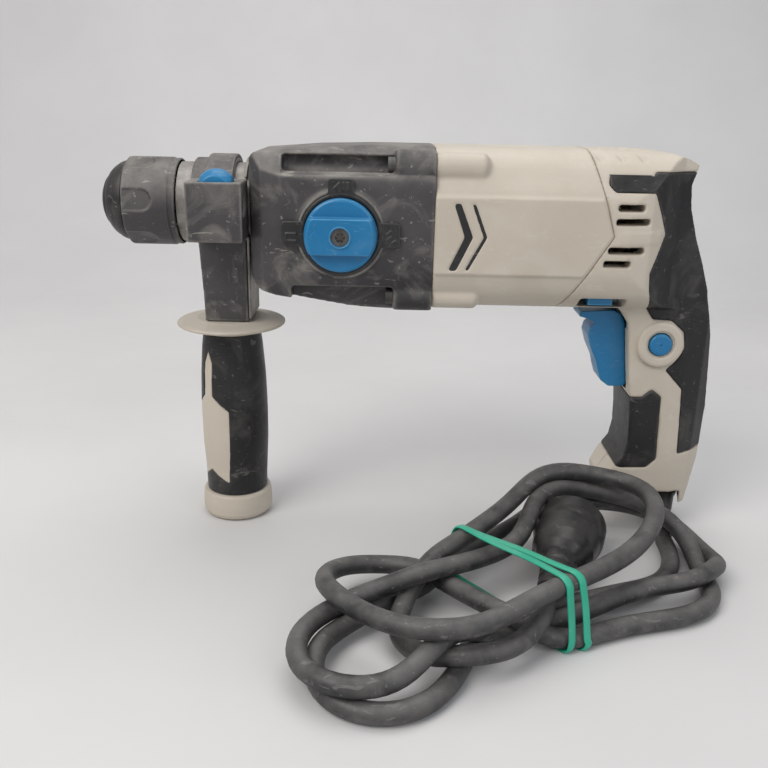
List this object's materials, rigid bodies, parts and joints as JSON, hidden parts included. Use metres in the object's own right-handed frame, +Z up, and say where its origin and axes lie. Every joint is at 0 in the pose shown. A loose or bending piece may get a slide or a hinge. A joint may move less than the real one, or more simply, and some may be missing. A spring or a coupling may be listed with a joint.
{
  "type": "corded rotary hammer drill",
  "caption": "Corded rotary hammer drill with a sleeve chuck, mode knob, pistol grip with trigger, clamp-on side handle and a tied-up mains lead.",
  "frame": {"origin": "mouth of the tool socket, on the spindle axis", "axes": "+X runs back along the spindle axis from the nose to the grip, +Z is up, the mode knob is on the -Y side"},
  "size_m": [0.3214, 0.2136, 0.2064],
  "materials": {
    "beige_plastic": "moulded, lightly grained, scuffed",
    "dark_plastic": "moulded, dusty",
    "black_rubber": "matte, worn glossy where held",
    "blue_plastic": "smooth moulded",
    "black_plastic": "fine grain",
    "steel": "turned and ground",
    "bright_steel": "polished",
    "alloy": "die cast",
    "copper": "enamelled wire and drawn copper",
    "brass": "pressed sheet",
    "carbon": "sintered graphite",
    "green_rubber": "smooth stretched band",
    "cord_rubber": "matte, dusty"
  },
  "bodies": {
    "housing": {"shaft_seal": "black_rubber", "front_bearing": "bright_steel", "spindle_support": "alloy", "countershaft_bearings": "bright_steel", "gearbox_nose": "alloy", "gearbox_cover": "dark_plastic", "bearing_plate": "alloy", "housing_screws": "steel", "selector_plate": "black_plastic", "motor_bearings": "bright_steel", "stator_core": "steel", "field_coils": "copper", "brush_holders": "brass", "carbon_brushes": "carbon", "motor_housing": "beige_plastic", "side_chevrons": "black_plastic", "handle_shell_left": "beige_plastic", "handle_shell_right": "beige_plastic", "rubber_back": "black_rubber", "rubber_front": "black_rubber", "handle_screws": "steel", "switch_module": "black_plastic", "cord_boot": "black_rubber", "cord_lead": "cord_rubber", "cord_hank": "cord_rubber", "tie_band": "green_rubber", "plug": "black_plastic", "plug_pins": "bright_steel"},
    "spindle": {"spindle": "steel", "spindle_gear": "steel", "dust_cap": "black_rubber", "locking_ball": "bright_steel", "spring_washer": "steel", "chuck_spring": "bright_steel"},
    "chuck": {"chuck_sleeve": "dark_plastic", "lock_ring": "steel"},
    "impact_bolt": {"impact_bolt": "bright_steel"},
    "piston": {"piston": "alloy"},
    "striker": {"striker": "bright_steel"},
    "countershaft": {"countershaft": "steel", "wobble_hub": "steel", "reduction_gear": "steel"},
    "wobble": {"wobble_ring": "bright_steel"},
    "armature": {"armature_shaft": "steel", "armature_core": "steel", "armature_windings": "copper", "commutator": "copper", "fan": "black_plastic"},
    "selector": {"selector_knob": "blue_plastic", "selector_screw": "steel"},
    "trigger": {"trigger": "blue_plastic"},
    "direction_lever": {"direction_lever": "blue_plastic"},
    "lock_button": {"lock_button": "blue_plastic"},
    "side_handle": {"clamp_yoke": "dark_plastic", "clamp_strap": "dark_plastic", "clamp_plate": "alloy"},
    "side_grip": {"handle_core": "beige_plastic", "grip_sleeve": "black_rubber", "clamp_bolt": "steel"},
    "depth_button": {"depth_button": "blue_plastic"}
  },
  "joints": [
    {"name": "countershaft_spin", "type": "hinge", "parent": "housing", "child": "countershaft", "pos_m": [0, 0, -0.028], "axis": [1, 0, 0], "continuous": true},
    {"name": "spindle_spin", "type": "hinge", "parent": "housing", "child": "spindle", "pos_m": [0, 0, 0], "axis": [1, 0, 0], "continuous": true},
    {"name": "armature_spin", "type": "hinge", "parent": "housing", "child": "armature", "pos_m": [0, 0, -0.012], "axis": [1, 0, 0], "continuous": true},
    {"name": "chuck_slide", "type": "slide", "parent": "spindle", "child": "chuck", "axis": [1, 0, 0], "range_m": [0, 0.005], "stiffness_N_per_m": 1500, "springref_m": -0.004, "deforming": ["chuck_spring"]},
    {"name": "impact_bolt_slide", "type": "slide", "parent": "spindle", "child": "impact_bolt", "axis": [1, 0, 0], "range_m": [-0.003, 0]},
    {"name": "wobble_rock", "type": "hinge", "parent": "housing", "child": "wobble", "pos_m": [0.125, 0, -0.028], "axis": [0, 1, 0], "range_deg": [-12, 12]},
    {"name": "piston_slide", "type": "slide", "parent": "housing", "child": "piston", "axis": [1, 0, 0], "range_m": [-0.0058, 0.0058]},
    {"name": "striker_slide", "type": "slide", "parent": "piston", "child": "striker", "axis": [1, 0, 0], "range_m": [-0.006, 0.006]},
    {"name": "selector_turn", "type": "hinge", "parent": "housing", "child": "selector", "pos_m": [0.123, -0.04, -0.01], "axis": [0, 1, 0], "range_deg": [0, 180]},
    {"name": "trigger_pull", "type": "slide", "parent": "housing", "child": "trigger", "axis": [1, 0, 0], "range_m": [0, 0.006], "stiffness_N_per_m": 900, "springref_m": -0.006},
    {"name": "direction_lever_swing", "type": "hinge", "parent": "housing", "child": "direction_lever", "pos_m": [0.268, 0, -0.0433], "axis": [0, 0, 1], "range_deg": [-10, 10]},
    {"name": "lock_button_press", "type": "slide", "parent": "housing", "child": "lock_button", "axis": [0, 1, 0], "range_m": [0, 0.0025], "stiffness_N_per_m": 300, "springref_m": -0.003},
    {"name": "side_handle_swivel", "type": "hinge", "parent": "housing", "child": "side_handle", "pos_m": [0, 0, 0], "axis": [1, 0, 0], "continuous": true},
    {"name": "side_grip_twist", "type": "hinge", "parent": "side_handle", "child": "side_grip", "pos_m": [0.062, 0, -0.1], "axis": [0, 0, 1], "range_deg": [0, 720]},
    {"name": "depth_button_press", "type": "slide", "parent": "side_handle", "child": "depth_button", "axis": [0, 0, -1], "range_m": [0, 0.0025], "stiffness_N_per_m": 300, "springref_m": -0.003}
  ],
  "couplings": [
    {"joint": "spindle_spin", "follows": "countershaft_spin", "ratio": -0.24444},
    {"joint": "armature_spin", "follows": "countershaft_spin", "ratio": -3.4444},
    {"joint": "wobble_rock", "follows": "piston_slide", "rad_per_m": 36}
  ]
}
